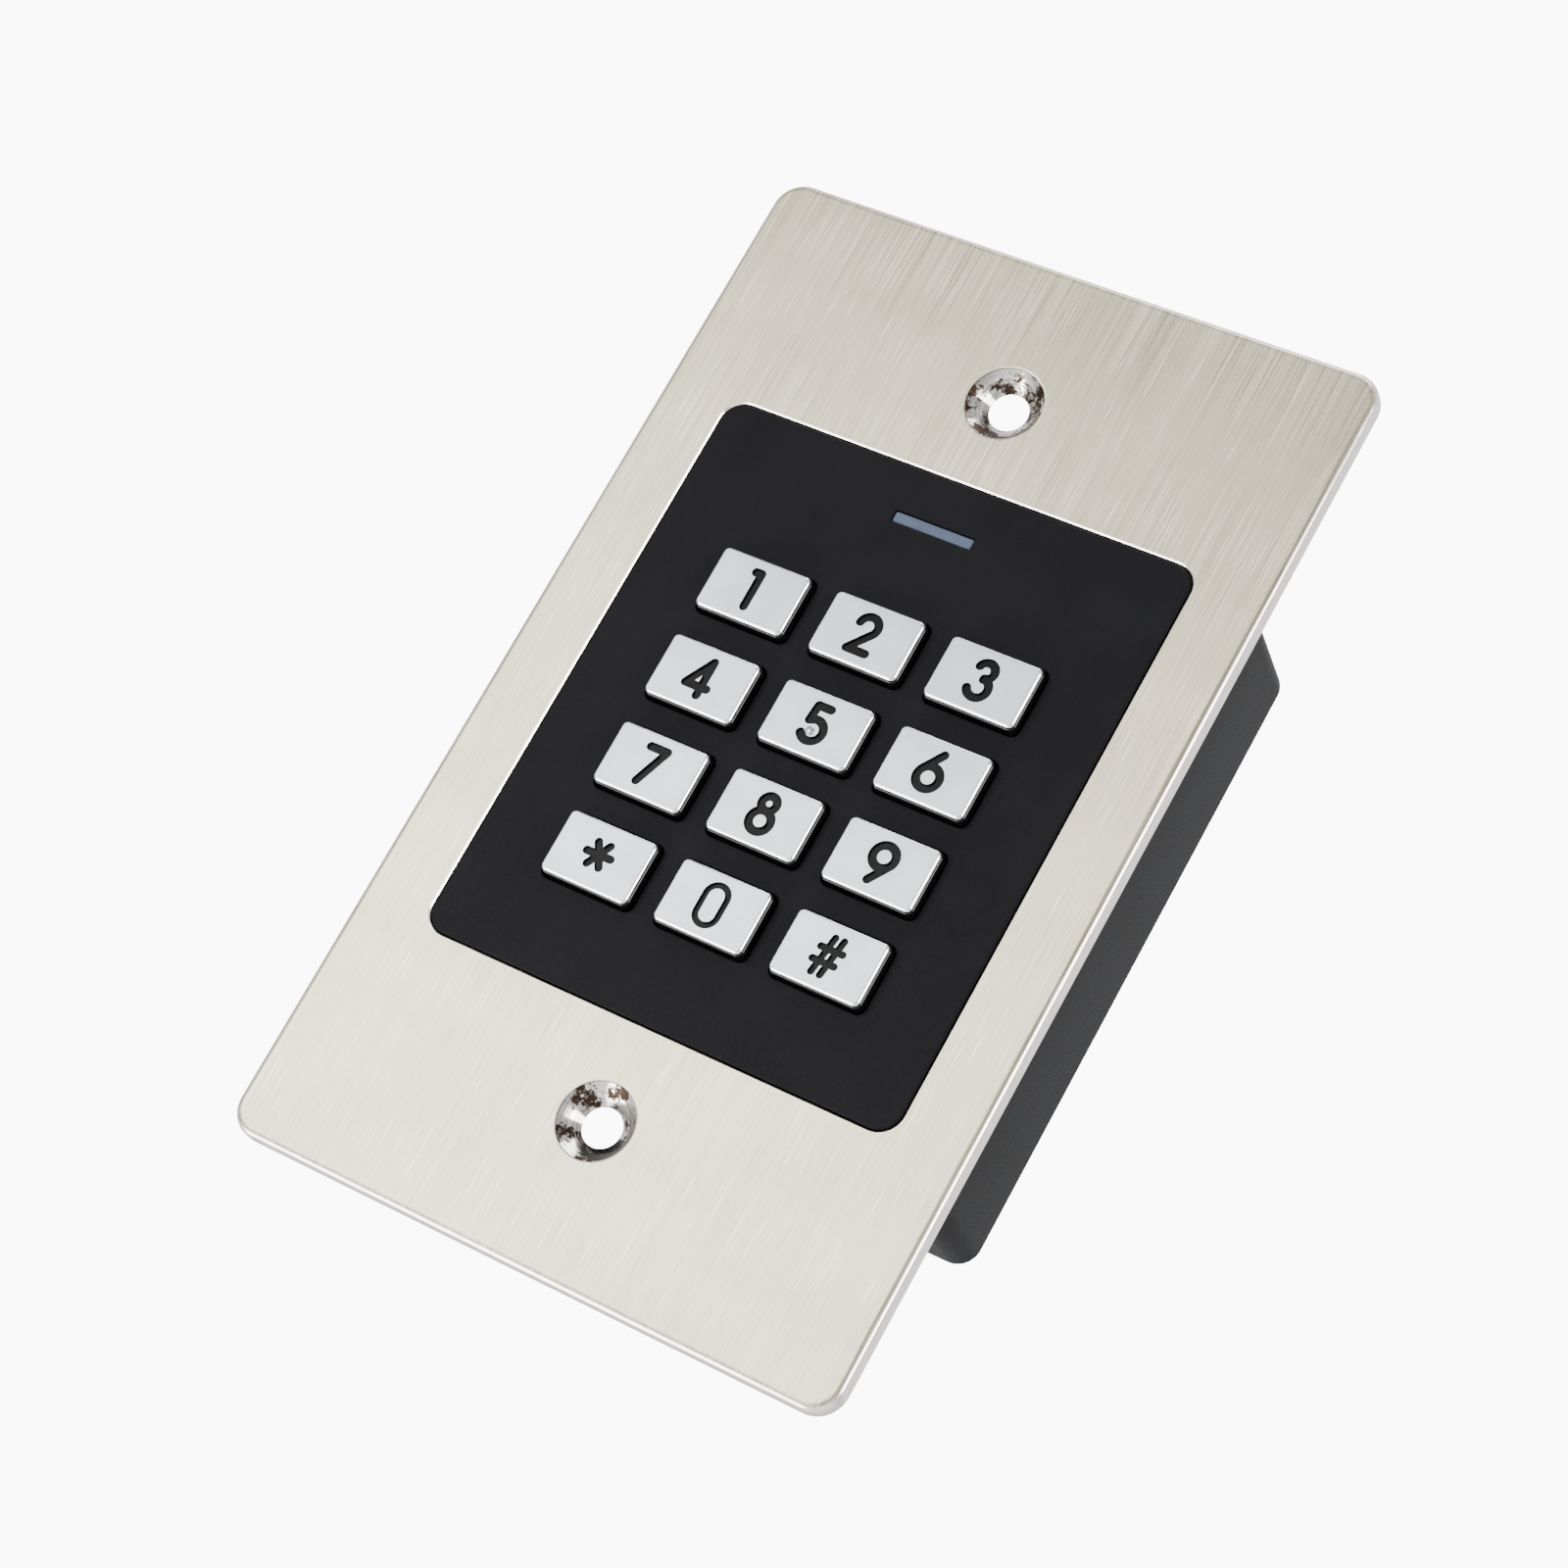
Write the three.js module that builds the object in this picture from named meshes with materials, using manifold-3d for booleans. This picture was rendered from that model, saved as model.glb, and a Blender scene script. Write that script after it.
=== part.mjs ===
// Keypad access reader: a stainless wall plate with a black keypad panel set in its window,
// and a closed housing behind it that goes into the wall. Millimetres.
// +X right and +Z up as seen from the front, +Y into the wall. The origin is the middle of the
// plate's back face, which is the plane of the wall.
import * as THREE from 'three';
import { mergeVertices } from 'three/addons/utils/BufferGeometryUtils.js';
import Module from 'manifold-3d';

// ---------- Driving dimensions ----------

const TOUCH_GAP = 0.3; // between two pieces where one sits in or on the other
const THROUGH = 1; // how far a cutter runs past the face that it leaves by

// Wall plate
const PLATE_W = 70;
const PLATE_H = 115;
const PLATE_T = 2;
const PLATE_CORNER_R = 3.2;
const PLATE_EDGE = 0.8;
const SCREW_SPACING = 83.3;
const SCREW_BORE_R = 2.1;
const SCREW_HEAD_R = 4.05;

// Keys
const KEY_NAMES = ['1', '2', '3', '4', '5', '6', '7', '8', '9', 'star', '0', 'hash'];
const KEY_COLUMNS = 3;
const KEY_ROWS = KEY_NAMES.length / KEY_COLUMNS;
const KEY_SPACE_X = 3.1; // between the caps
const KEY_SPACE_Z = 3.45;
const KEYS_Z = -2.6;
const CAP_W = 10.2;
const CAP_H = 6.95;
const CAP_R = 0.65;
const CAP_T = 0.45;
const CAP_BEVEL = 0.25;
const CAP_TOP = 1.4; // height of a cap's face above the panel's face
const SKIRT = 0.1; // how far a key's carrier stands out past its cap
const KEY_GAP = 0.2;
const KEY_FLANGE = 0.65;
const KEY_FLANGE_T = 0.8;
const STEM_R = 1.9;
const STEM_L = 1;
const LEGEND_DEPTH = 0.3;
const LEGEND_STROKE = 0.95;
const DOT_R = 0.5; // the raised dot on the 5 key
const DOT_RISE = 0.2;
const DOT_PLACE = [-0.1, -0.85];

// Keypad panel and its flange behind the plate
const PANEL_SPARE_W = 17.4; // what the panel has beyond the block of keys, both sides together
const PANEL_SPARE_H = 25.05;
const PANEL_R = 2.4;
const PANEL_Z = 0.3;
const PANEL_GAP = 0.15;
const PANEL_SKIN = 1.8;
const PANEL_WALL = 1.3;
const GASKET_T = 0.5;
const FLANGE_T = 1.6;

// Rear housing
const HOUSING_LIP = 3.4; // flange and housing reach this far past the panel on each side
const HOUSING_REAR = 25;
const HOUSING_R = 2.5;
const HOUSING_WALL = 1.8;
const HOUSING_FLOOR = 2;

// Rubber mat and domes
const DOME_BASE_R = 3.1;
const DOME_TOP_R = 2.1;
const DOME_H = 2;
const DOME_WALL = 0.5;
const PILL_R = 1;
const PILL_T = 0.5;
const MAT_T = 0.8;
const MAT_MARGIN = 2.6;

// Circuit board and what is on it
const BOARD_T = 1.6;
const BOARD_GAP = 0.4;
const BOARD_POST_R = 1.9;
const BOARD_POST_INSET = 7.6; // from the panel's sides
const BOARD_POST_TOP = 22.6;
const BOARD_POST_BOTTOM = -25.2;
const BOARD_SCREW_R = 0.9;
const BOARD_SCREW_HEAD_R = 1.7;
const BOARD_SCREW_HEAD_T = 1.1;
const COIL_MARGIN = 0.4;
const COIL_WIDTH = 1.8;
const COIL_T = 1.6;
const LED_W = 5;
const LED_H = 1.4;
const LED_T = 0.8;
const CONTROLLER = { w: 9, h: 9, t: 1.4, x: -5, z: 6 };
const READER_CHIP = { w: 5, h: 6.2, t: 1.5, x: 8, z: 5 };
const RELAY = { w: 10, h: 15, t: 11.5, x: -15, z: -9 };
const BUZZER = { r: 6, t: 7.5, holeR: 1, holeDepth: 1.5, x: 13, z: -8 };
const HEADER = { w: 21, h: 6, t: 7, wall: 1, floor: 2, x: 0, z: -27 };
const SENSOR = { stalkR: 1.6, eyeR: 2.5, eyeT: 2.2 };

// Light bar
const LIGHT_W = 9;
const LIGHT_H = 1.15;
const LIGHT_Z = 26.3;
const LIGHT_RECESS = 0.2;
const LIGHT_FLANGE = 0.8;
const LIGHT_FLANGE_T = 0.8;
const LIGHT_GAP = 0.08;

// Screws that hold the housing to the panel, driven from behind
const HOUSING_SCREW_R = 1.1;
const HOUSING_SCREW_HEAD_R = 2.1;
const HOUSING_SCREW_HEAD_T = 1.6;
const HOUSING_SCREW_L = 12;
const HEAD_SEAT = 17; // depth of the screw heads' seats
const BOSS_R = 2.6;
const BOSS_END = 9;
const SCREW_CLEARANCE = 0.3;
const SLOT_L = 3; // the cross recess in a head
const SLOT_W = 0.7;
const SLOT_DEPTH = 0.7;

// Lead outlet and tamper sight hole in the housing's back
const OUTLET_Z = -18;
const OUTLET_HOLE_R = 5.6;
const GROMMET_BORE_R = 3.7;
const GROMMET_LIP = 1.3;
const GROMMET_LIP_T = 1.5;
const SIGHT_X = 12;
const SIGHT_Z = 20;
const SIGHT_R = 2;

// ---------- Places worked out from them ----------

const FRONT = -PLATE_T;
const KEY_PITCH_X = CAP_W + KEY_SPACE_X;
const KEY_PITCH_Z = CAP_H + KEY_SPACE_Z;
const PANEL_W = (KEY_COLUMNS - 1) * KEY_PITCH_X + CAP_W + PANEL_SPARE_W;
const PANEL_H = (KEY_ROWS - 1) * KEY_PITCH_Z + CAP_H + PANEL_SPARE_H;
const SKIN_REAR = FRONT + PANEL_SKIN;
const FLANGE_FRONT = GASKET_T;
const FLANGE_REAR = FLANGE_FRONT + FLANGE_T;
const HOUSING_W = PANEL_W + 2 * HOUSING_LIP;
const HOUSING_H = PANEL_H + 2 * HOUSING_LIP;
const CAP_FRONT = FRONT - CAP_TOP;
const CAP_REAR = CAP_FRONT + CAP_T;
const BODY_W = CAP_W + 2 * SKIRT;
const BODY_H = CAP_H + 2 * SKIRT;
const KEY_FLANGE_REAR = SKIN_REAR + KEY_FLANGE_T;
const STEM_REAR = KEY_FLANGE_REAR + STEM_L;
const DOME_REAR = STEM_REAR + DOME_H;
const BOARD_FRONT = DOME_REAR;
const BOARD_REAR = BOARD_FRONT + BOARD_T;
const CAVITY_W = PANEL_W - 2 * PANEL_WALL;
const CAVITY_H = PANEL_H - 2 * PANEL_WALL;
const BOSS_X = HOUSING_W / 2 - HOUSING_WALL - SCREW_CLEARANCE - BOSS_R;
const BOSS_Z = HOUSING_H / 2 - HOUSING_WALL - SCREW_CLEARANCE - BOSS_R;

const BOSS_PLACES = [[-1, -1], [1, -1], [-1, 1], [1, 1]].map(([sx, sz]) => [
  sx * BOSS_X,
  PANEL_Z + sz * BOSS_Z,
]);
const POST_X = PANEL_W / 2 - BOARD_POST_INSET;
const POST_PLACES = [
  [-POST_X, BOARD_POST_TOP],
  [POST_X, BOARD_POST_TOP],
  [-POST_X, BOARD_POST_BOTTOM],
  [POST_X, BOARD_POST_BOTTOM],
];
const KEYS = KEY_NAMES.map((name, i) => {
  const column = i % KEY_COLUMNS;
  const row = Math.floor(i / KEY_COLUMNS);
  return {
    name,
    x: (column - (KEY_COLUMNS - 1) / 2) * KEY_PITCH_X,
    z: KEYS_Z + ((KEY_ROWS - 1) / 2 - row) * KEY_PITCH_Z,
  };
});

// ---------- Solids ----------

const wasm = await Module();
wasm.setup();

function solid(geometry) {
  const bare = geometry.clone();
  bare.deleteAttribute('normal');
  bare.deleteAttribute('uv');
  const merged = mergeVertices(bare, 1e-4);
  return new wasm.Manifold(new wasm.Mesh({
    numProp: 3,
    vertProperties: new Float32Array(merged.attributes.position.array),
    triVerts: new Uint32Array(merged.index.array),
  }));
}

function join(...solids) {
  return solids.reduce((whole, next) => whole.add(next));
}

function cut(whole, ...cutters) {
  return cutters.reduce((rest, cutter) => rest.subtract(cutter), whole);
}

// A solid between two depths whose outline is a shape in the X-Z plane. A quarter round in the
// outline takes twice curveSegments sides.
function slab(shape, front, rear, x = 0, z = 0, curveSegments = 2) {
  const settings = { depth: rear - front, bevelEnabled: false, curveSegments };
  const geometry = new THREE.ExtrudeGeometry(shape, settings);
  return solid(geometry.rotateX(Math.PI / 2).translate(x, rear, z));
}

// The same, with its front edge bevelled.
function bevelledSlab(shape, front, rear, bevel, bevelSegments, curveSegments) {
  const geometry = new THREE.ExtrudeGeometry(shape, {
    depth: rear - front,
    bevelThickness: bevel,
    bevelSize: bevel,
    bevelOffset: -bevel,
    bevelSegments,
    curveSegments,
  });
  const long = solid(geometry.rotateX(Math.PI / 2).translate(0, rear + bevel, 0));
  const size = new THREE.Box3().setFromBufferAttribute(geometry.attributes.position);
  const reach = 2 * Math.max(size.max.x, size.max.z) + THROUGH;
  const behind = new THREE.BoxGeometry(2 * reach, 4 * bevel, 2 * reach);
  return cut(long, solid(behind.translate(0, rear + 2 * bevel, 0)));
}

// How many flat sides stand in for a circle: more on a larger one.
function sidesFor(r) {
  return 2 * Math.round(3 + 1.2 * r);
}

// A round solid along Y, with its own radius at each end.
function taper(frontR, rearR, front, rear, x, z) {
  const sides = sidesFor(Math.min(frontR, rearR));
  const geometry = new THREE.CylinderGeometry(rearR, frontR, rear - front, sides);
  return solid(geometry.translate(x, (front + rear) / 2, z));
}

function rod(r, front, rear, x = 0, z = 0) {
  return taper(r, r, front, rear, x, z);
}

function block(w, h, front, rear, x, z) {
  const geometry = new THREE.BoxGeometry(w, rear - front, h);
  return solid(geometry.translate(x, (front + rear) / 2, z));
}

// A solid of revolution about a line along Y. profile holds [radius, y] pairs.
function turned(profile, x, z) {
  const points = profile.map(([r, y]) => new THREE.Vector2(r, y));
  const sides = sidesFor(Math.max(...profile.map(([r]) => r)));
  return solid(new THREE.LatheGeometry(points, sides).translate(x, 0, z));
}

function roundedRectangle(w, h, r, x = 0, z = 0) {
  const [left, right, bottom, top] = [x - w / 2, x + w / 2, z - h / 2, z + h / 2];
  const shape = new THREE.Shape();
  shape.moveTo(left + r, bottom).lineTo(right - r, bottom);
  shape.absarc(right - r, bottom + r, r, -Math.PI / 2, 0);
  shape.lineTo(right, top - r).absarc(right - r, top - r, r, 0, Math.PI / 2);
  shape.lineTo(left + r, top).absarc(left + r, top - r, r, Math.PI / 2, Math.PI);
  shape.lineTo(left, bottom + r).absarc(left + r, bottom + r, r, Math.PI, 1.5 * Math.PI);
  return shape;
}

// ---------- Legends: strokes of a round-ended cutter, about the middle of a key ----------

const DEGREE = Math.PI / 180;

function arc(x, z, r, from, to, steps = 7) {
  return Array.from({ length: steps + 1 }, (_, i) => {
    const angle = (from + ((to - from) * i) / steps) * DEGREE;
    return [x + r * Math.cos(angle), z + r * Math.sin(angle)];
  });
}

function starArms(x, z, length) {
  return [0, 60, 120].map((angle) => arc(x, z, length, angle, angle + 180, 1));
}

const LEGENDS = {
  1: [[[-0.6, 1.9], [0.05, 1.9]], [[0.05, 1.9], [0.05, -1.9]]],
  2: [
    [...arc(-0.15, 0.9, 1.05, 170, -35), [-1.2, -1.9]],
    [[-1.2, -1.9], [0.95, -1.9]],
  ],
  3: [arc(-0.1, 1.05, 0.9, 160, -80), arc(-0.1, -0.8, 1.1, 80, -160)],
  4: [[[0.45, 1.9], [-1.35, -1]], [[-1.35, -1], [1.1, -1]], [[0.45, 1.9], [0.45, -1.9]]],
  5: [
    [[-0.6, 1.9], [0.85, 1.9]],
    [[-0.6, 1.9], [-0.75, 0.2]],
    [[-0.75, 0.2], ...arc(0.05, -0.72, 1.18, 100, -150)],
  ],
  6: [arc(-0.05, -0.72, 1.2, 0, 360, 12), [[-1.08, -0.1], [0.4, 1.95]]],
  7: [[[-1, 1.9], [0.95, 1.9]], [[0.95, 1.9], [-0.6, -1.9]]],
  8: [arc(0, 1.15, 0.8, 0, 360, 12), arc(0, -0.8, 1.14, 0, 360, 12)],
  9: [arc(0.05, 0.72, 1.2, 0, 360, 12), [[1.08, 0.1], [-0.4, -1.95]]],
  star: starArms(0, 0.1, 1.4),
  0: [[...arc(0, 0.95, 1.2, 0, 180), ...arc(0, -0.95, 1.2, 180, 360), [1.2, 0.95]]],
  hash: [
    [[-0.85, -2], [-0.25, 1.9]],
    [[0.15, -2], [0.75, 1.9]],
    [[-1.2, 0.65], [1.25, 0.65]],
    [[-1.4, -0.75], [1.05, -0.75]],
  ],
};
const THIN_STROKES = { 0: 0.68, hash: 0.76, star: 0.88 };

// The outline of one stroke: its line's two sides, and a half circle round each end.
// A closed line gives a ring with a hole.
function strokeShape(line, width) {
  const points = line.map(([x, z]) => new THREE.Vector2(x, z));
  const last = points.length - 1;
  const closed = last > 2 && points[0].distanceTo(points[last]) < 1e-6;
  const direction = (i, j) => points[j].clone().sub(points[i]).normalize();
  const side = (i, sign) => {
    const before = i > 0 ? direction(i - 1, i) : closed && direction(last - 1, last);
    const after = i < last ? direction(i, i + 1) : closed && direction(0, 1);
    const along = (before || after).clone().add(after || before).normalize();
    const spread = (sign * width) / 2 / along.dot(before || after);
    return new THREE.Vector2(-along.y, along.x).multiplyScalar(spread).add(points[i]);
  };
  const run = (sign) => points.map((_, i) => side(i, sign));
  if (closed) {
    const ring = new THREE.Shape(run(-1).slice(0, last));
    ring.holes.push(new THREE.Path(run(1).slice(0, last)));
    return ring;
  }
  const cap = (i, along) => {
    const heading = along.angle() / DEGREE;
    return arc(points[i].x, points[i].y, width / 2, heading - 90, heading + 90, 3).slice(1, -1);
  };
  const rounded = (i, along) => cap(i, along).map(([x, z]) => new THREE.Vector2(x, z));
  return new THREE.Shape([
    ...run(-1),
    ...rounded(last, direction(last - 1, last)),
    ...run(1).reverse(),
    ...rounded(0, direction(1, 0)),
  ]);
}

function legendCutters(name) {
  const width = THIN_STROKES[name] ?? LEGEND_STROKE;
  const floor = CAP_FRONT + LEGEND_DEPTH;
  return LEGENDS[name].map((line) => slab(strokeShape(line, width), CAP_FRONT - THROUGH, floor));
}

// ---------- Materials ----------

function material(color, roughness, metalness, more = {}) {
  return new THREE.MeshStandardMaterial({ color, roughness, metalness, ...more });
}

const MATERIALS = {
  steel: material(0xc9c4bc, 0.38, 1),
  panel: material(0x1b1b1f, 0.55, 0),
  silver: material(0xd3d6d9, 0.3, 0.85),
  carrier: material(0x121214, 0.25, 0),
  light: material(0x6c7c9c, 0.35, 0, { transparent: true, opacity: 0.8 }),
  housing: material(0x2b2c2f, 0.6, 0),
  foam: material(0x2a2a2a, 0.95, 0),
  rubber: material(0x4a4d52, 0.8, 0),
  board: material(0x1d5a34, 0.5, 0),
  copper: material(0xb8703a, 0.35, 1),
  chip: material(0x18181a, 0.5, 0),
  relay: material(0x2555a0, 0.4, 0),
  lamp: material(0xf2efe0, 0.4, 0),
  sensor: material(0xc98a3c, 0.4, 0),
  header: material(0xe9e6dc, 0.5, 0),
  screw: material(0xb4b4b0, 0.3, 1),
};

const device = new THREE.Group();

function addPiece(name, shape, look, parent = device) {
  const { vertProperties, triVerts } = shape.getMesh();
  const geometry = new THREE.BufferGeometry();
  geometry.setAttribute('position', new THREE.BufferAttribute(vertProperties, 3));
  geometry.setIndex(new THREE.BufferAttribute(triVerts, 1));
  geometry.computeVertexNormals();
  const mesh = new THREE.Mesh(geometry, MATERIALS[look]);
  mesh.name = name;
  parent.add(mesh);
}

// ---------- Plate, gasket and panel ----------

function facePlate() {
  const outline = roundedRectangle(PLATE_W, PLATE_H, PLATE_CORNER_R);
  const sheet = bevelledSlab(outline, FRONT, 0, PLATE_EDGE, 2, 3);
  const windowW = PANEL_W + 2 * PANEL_GAP;
  const windowH = PANEL_H + 2 * PANEL_GAP;
  const opening = roundedRectangle(windowW, windowH, PANEL_R + PANEL_GAP, 0, PANEL_Z);
  const screwHoles = [-1, 1].flatMap((side) => {
    const z = (side * SCREW_SPACING) / 2;
    const sinkDepth = SCREW_HEAD_R - SCREW_BORE_R;
    return [
      rod(SCREW_BORE_R, FRONT - THROUGH, THROUGH, 0, z),
      taper(SCREW_HEAD_R, SCREW_BORE_R, FRONT, FRONT + sinkDepth, 0, z),
    ];
  });
  return cut(sheet, slab(opening, FRONT - THROUGH, THROUGH), ...screwHoles);
}

function plateGasket() {
  const outer = roundedRectangle(HOUSING_W, HOUSING_H, HOUSING_R, 0, PANEL_Z);
  const w = PANEL_W + 2 * TOUCH_GAP;
  const h = PANEL_H + 2 * TOUCH_GAP;
  const inner = roundedRectangle(w, h, PANEL_R + TOUCH_GAP, 0, PANEL_Z);
  return cut(slab(outer, 0, GASKET_T), slab(inner, -THROUGH, GASKET_T + THROUGH));
}

function keypadBezel() {
  const face = roundedRectangle(PANEL_W, PANEL_H, PANEL_R, 0, PANEL_Z);
  const flange = roundedRectangle(HOUSING_W, HOUSING_H, HOUSING_R, 0, PANEL_Z);
  const cavity = roundedRectangle(CAVITY_W, CAVITY_H, PANEL_R - PANEL_WALL, 0, PANEL_Z);
  const shell = cut(
    join(slab(face, FRONT, FLANGE_REAR), slab(flange, FLANGE_FRONT, FLANGE_REAR)),
    slab(cavity, SKIN_REAR, FLANGE_REAR + THROUGH),
  );
  const bosses = BOSS_PLACES.map(([x, z]) => rod(BOSS_R, FLANGE_FRONT, BOSS_END, x, z));
  const root = SKIN_REAR - PANEL_SKIN / 2;
  const posts = POST_PLACES.map(([x, z]) => rod(BOARD_POST_R, root, BOARD_FRONT, x, z));
  const apertures = KEYS.map(({ x, z }) => {
    const hole = roundedRectangle(BODY_W + 2 * KEY_GAP, BODY_H + 2 * KEY_GAP, CAP_R + KEY_GAP);
    return slab(hole, FRONT - THROUGH, SKIN_REAR + THROUGH, x, z, 1);
  });
  const lightSlot = block(
    LIGHT_W + 2 * LIGHT_GAP,
    LIGHT_H + 2 * LIGHT_GAP,
    FRONT - THROUGH,
    SKIN_REAR + THROUGH,
    0,
    LIGHT_Z,
  );
  const pilotEnd = HEAD_SEAT - HOUSING_SCREW_L - TOUCH_GAP;
  const bossBores = BOSS_PLACES.map(([x, z]) => {
    return rod(HOUSING_SCREW_R + SCREW_CLEARANCE, pilotEnd, BOSS_END + THROUGH, x, z);
  });
  const postBores = POST_PLACES.map(([x, z]) => {
    return rod(BOARD_SCREW_R + SCREW_CLEARANCE, SKIN_REAR, BOARD_FRONT + THROUGH, x, z);
  });
  return cut(join(shell, ...bosses, ...posts), ...apertures, lightSlot, ...bossBores, ...postBores);
}

function lightPipe() {
  const front = FRONT + LIGHT_RECESS;
  const rear = BOARD_FRONT - LED_T - TOUCH_GAP;
  const flangeW = LIGHT_W + 2 * LIGHT_FLANGE;
  const flangeH = LIGHT_H + 2 * LIGHT_FLANGE;
  return join(
    block(LIGHT_W, LIGHT_H, front, rear, 0, LIGHT_Z),
    block(flangeW, flangeH, SKIN_REAR, SKIN_REAR + LIGHT_FLANGE_T, 0, LIGHT_Z),
  );
}

// ---------- One key: cap, carrier and the dome under it ----------

function keyCap(name) {
  const blank = bevelledSlab(
    roundedRectangle(CAP_W, CAP_H, CAP_R),
    CAP_FRONT,
    CAP_REAR,
    CAP_BEVEL,
    1,
    1,
  );
  const cap = cut(blank, ...legendCutters(name));
  return name === '5' ? join(cap, tactileDot()) : cap;
}

function tactileDot() {
  return turned([
    [0, CAP_FRONT - DOT_RISE],
    [DOT_R * 0.7, CAP_FRONT - DOT_RISE * 0.7],
    [DOT_R, CAP_FRONT],
    [DOT_R, CAP_REAR],
    [0, CAP_REAR],
  ], ...DOT_PLACE);
}

function keyBody() {
  const carrier = roundedRectangle(BODY_W, BODY_H, CAP_R + SKIRT);
  const flange = roundedRectangle(BODY_W + 2 * KEY_FLANGE, BODY_H + 2 * KEY_FLANGE, CAP_R);
  return join(
    slab(carrier, CAP_REAR, KEY_FLANGE_REAR, 0, 0, 1),
    slab(flange, SKIN_REAR, KEY_FLANGE_REAR, 0, 0, 1),
    rod(STEM_R, KEY_FLANGE_REAR - KEY_FLANGE_T / 2, STEM_REAR),
  );
}

// A thin rubber cone, open towards the board, with a contact pill under its roof.
function dome(x, z) {
  const roof = STEM_REAR + DOME_WALL;
  return turned([
    [0, STEM_REAR],
    [DOME_TOP_R, STEM_REAR],
    [DOME_BASE_R, DOME_REAR],
    [DOME_BASE_R - DOME_WALL, DOME_REAR],
    [DOME_TOP_R - DOME_WALL, roof],
    [PILL_R, roof],
    [PILL_R, roof + PILL_T],
    [0, roof + PILL_T],
  ], x, z);
}

function keypadMembrane() {
  const w = (KEY_COLUMNS - 1) * KEY_PITCH_X + BODY_W + 2 * MAT_MARGIN;
  const h = (KEY_ROWS - 1) * KEY_PITCH_Z + BODY_H + 2 * MAT_MARGIN;
  const front = BOARD_FRONT - MAT_T;
  const holeR = DOME_BASE_R + TOUCH_GAP;
  const holes = KEYS.map(({ x, z }) => rod(holeR, front - THROUGH, BOARD_FRONT + THROUGH, x, z));
  const sheet = slab(roundedRectangle(w, h, MAT_MARGIN / 2), front, BOARD_FRONT, 0, KEYS_Z);
  return cut(sheet, ...holes, ...postClearances());
}

function postClearances() {
  const r = BOARD_POST_R + TOUCH_GAP;
  return POST_PLACES.map(([x, z]) => rod(r, SKIN_REAR, BOARD_FRONT + THROUGH, x, z));
}

// ---------- Circuit board and its components ----------

function mainBoard() {
  const w = HOUSING_W - 2 * HOUSING_WALL - 2 * BOARD_GAP;
  const h = HOUSING_H - 2 * HOUSING_WALL - 2 * BOARD_GAP;
  const bossR = BOSS_R + BOARD_GAP;
  const screwR = BOARD_SCREW_R + SCREW_CLEARANCE;
  const through = (r) => ([x, z]) => rod(r, BOARD_FRONT - THROUGH, BOARD_REAR + THROUGH, x, z);
  const corner = (place) => {
    const [x, z] = place;
    const reach = 2 * bossR;
    const cx = x + (Math.sign(x) * reach) / 2;
    const cz = z + (Math.sign(z - PANEL_Z) * reach) / 2;
    const square = block(reach, reach, BOARD_FRONT - THROUGH, BOARD_REAR + THROUGH, cx, cz);
    return join(through(bossR)(place), square);
  };
  return cut(
    block(w, h, BOARD_FRONT, BOARD_REAR, 0, PANEL_Z),
    ...BOSS_PLACES.map(corner),
    ...POST_PLACES.map(through(screwR)),
  );
}

// The card antenna: a flat rectangular winding on the board, round the keys and the light bar.
// Its corners are round enough to pass inside the four bosses.
function cardCoil() {
  const w = CAVITY_W - 2 * COIL_MARGIN;
  const h = CAVITY_H - 2 * COIL_MARGIN;
  const outerR = (BOSS_R + TOUCH_GAP) / (Math.SQRT2 - 1);
  const innerR = outerR - COIL_WIDTH;
  const outer = roundedRectangle(w, h, outerR, 0, PANEL_Z);
  const inner = roundedRectangle(w - 2 * COIL_WIDTH, h - 2 * COIL_WIDTH, innerR, 0, PANEL_Z);
  const front = BOARD_FRONT - COIL_T;
  return cut(
    slab(outer, front, BOARD_FRONT),
    slab(inner, front - THROUGH, BOARD_FRONT + THROUGH),
  );
}

function boardScrew(x, z) {
  return join(
    rod(BOARD_SCREW_R, SKIN_REAR + THROUGH, BOARD_REAR + TOUCH_GAP, x, z),
    rod(BOARD_SCREW_HEAD_R, BOARD_REAR, BOARD_REAR + BOARD_SCREW_HEAD_T, x, z),
  );
}

function statusLed() {
  return block(LED_W, LED_H, BOARD_FRONT - LED_T, BOARD_FRONT, 0, LIGHT_Z);
}

function onBoard({ w, h, t, x, z }) {
  return block(w, h, BOARD_REAR, BOARD_REAR + t, x, z);
}

function buzzer({ r, t, holeR, holeDepth, x, z }) {
  const rear = BOARD_REAR + t;
  return cut(rod(r, BOARD_REAR, rear, x, z), rod(holeR, rear - holeDepth, rear + THROUGH, x, z));
}

// A socket with an open pocket, for the wires of the lead.
function wireHeader(header) {
  const { w, h, t, wall, floor, x, z } = header;
  const [front, rear] = [BOARD_REAR + floor, BOARD_REAR + t + THROUGH];
  return cut(onBoard(header), block(w - 2 * wall, h - 2 * wall, front, rear, x, z));
}

// A light sensor on a stalk that reaches up to the sight hole in the housing's back.
function tamperSensor() {
  const end = HOUSING_REAR - HOUSING_FLOOR - TOUCH_GAP;
  const { stalkR, eyeR, eyeT } = SENSOR;
  const stalk = rod(stalkR, BOARD_REAR, end - eyeT / 2, SIGHT_X, SIGHT_Z);
  return join(stalk, rod(eyeR, end - eyeT, end, SIGHT_X, SIGHT_Z));
}

// ---------- Housing, grommet and screws ----------

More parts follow.
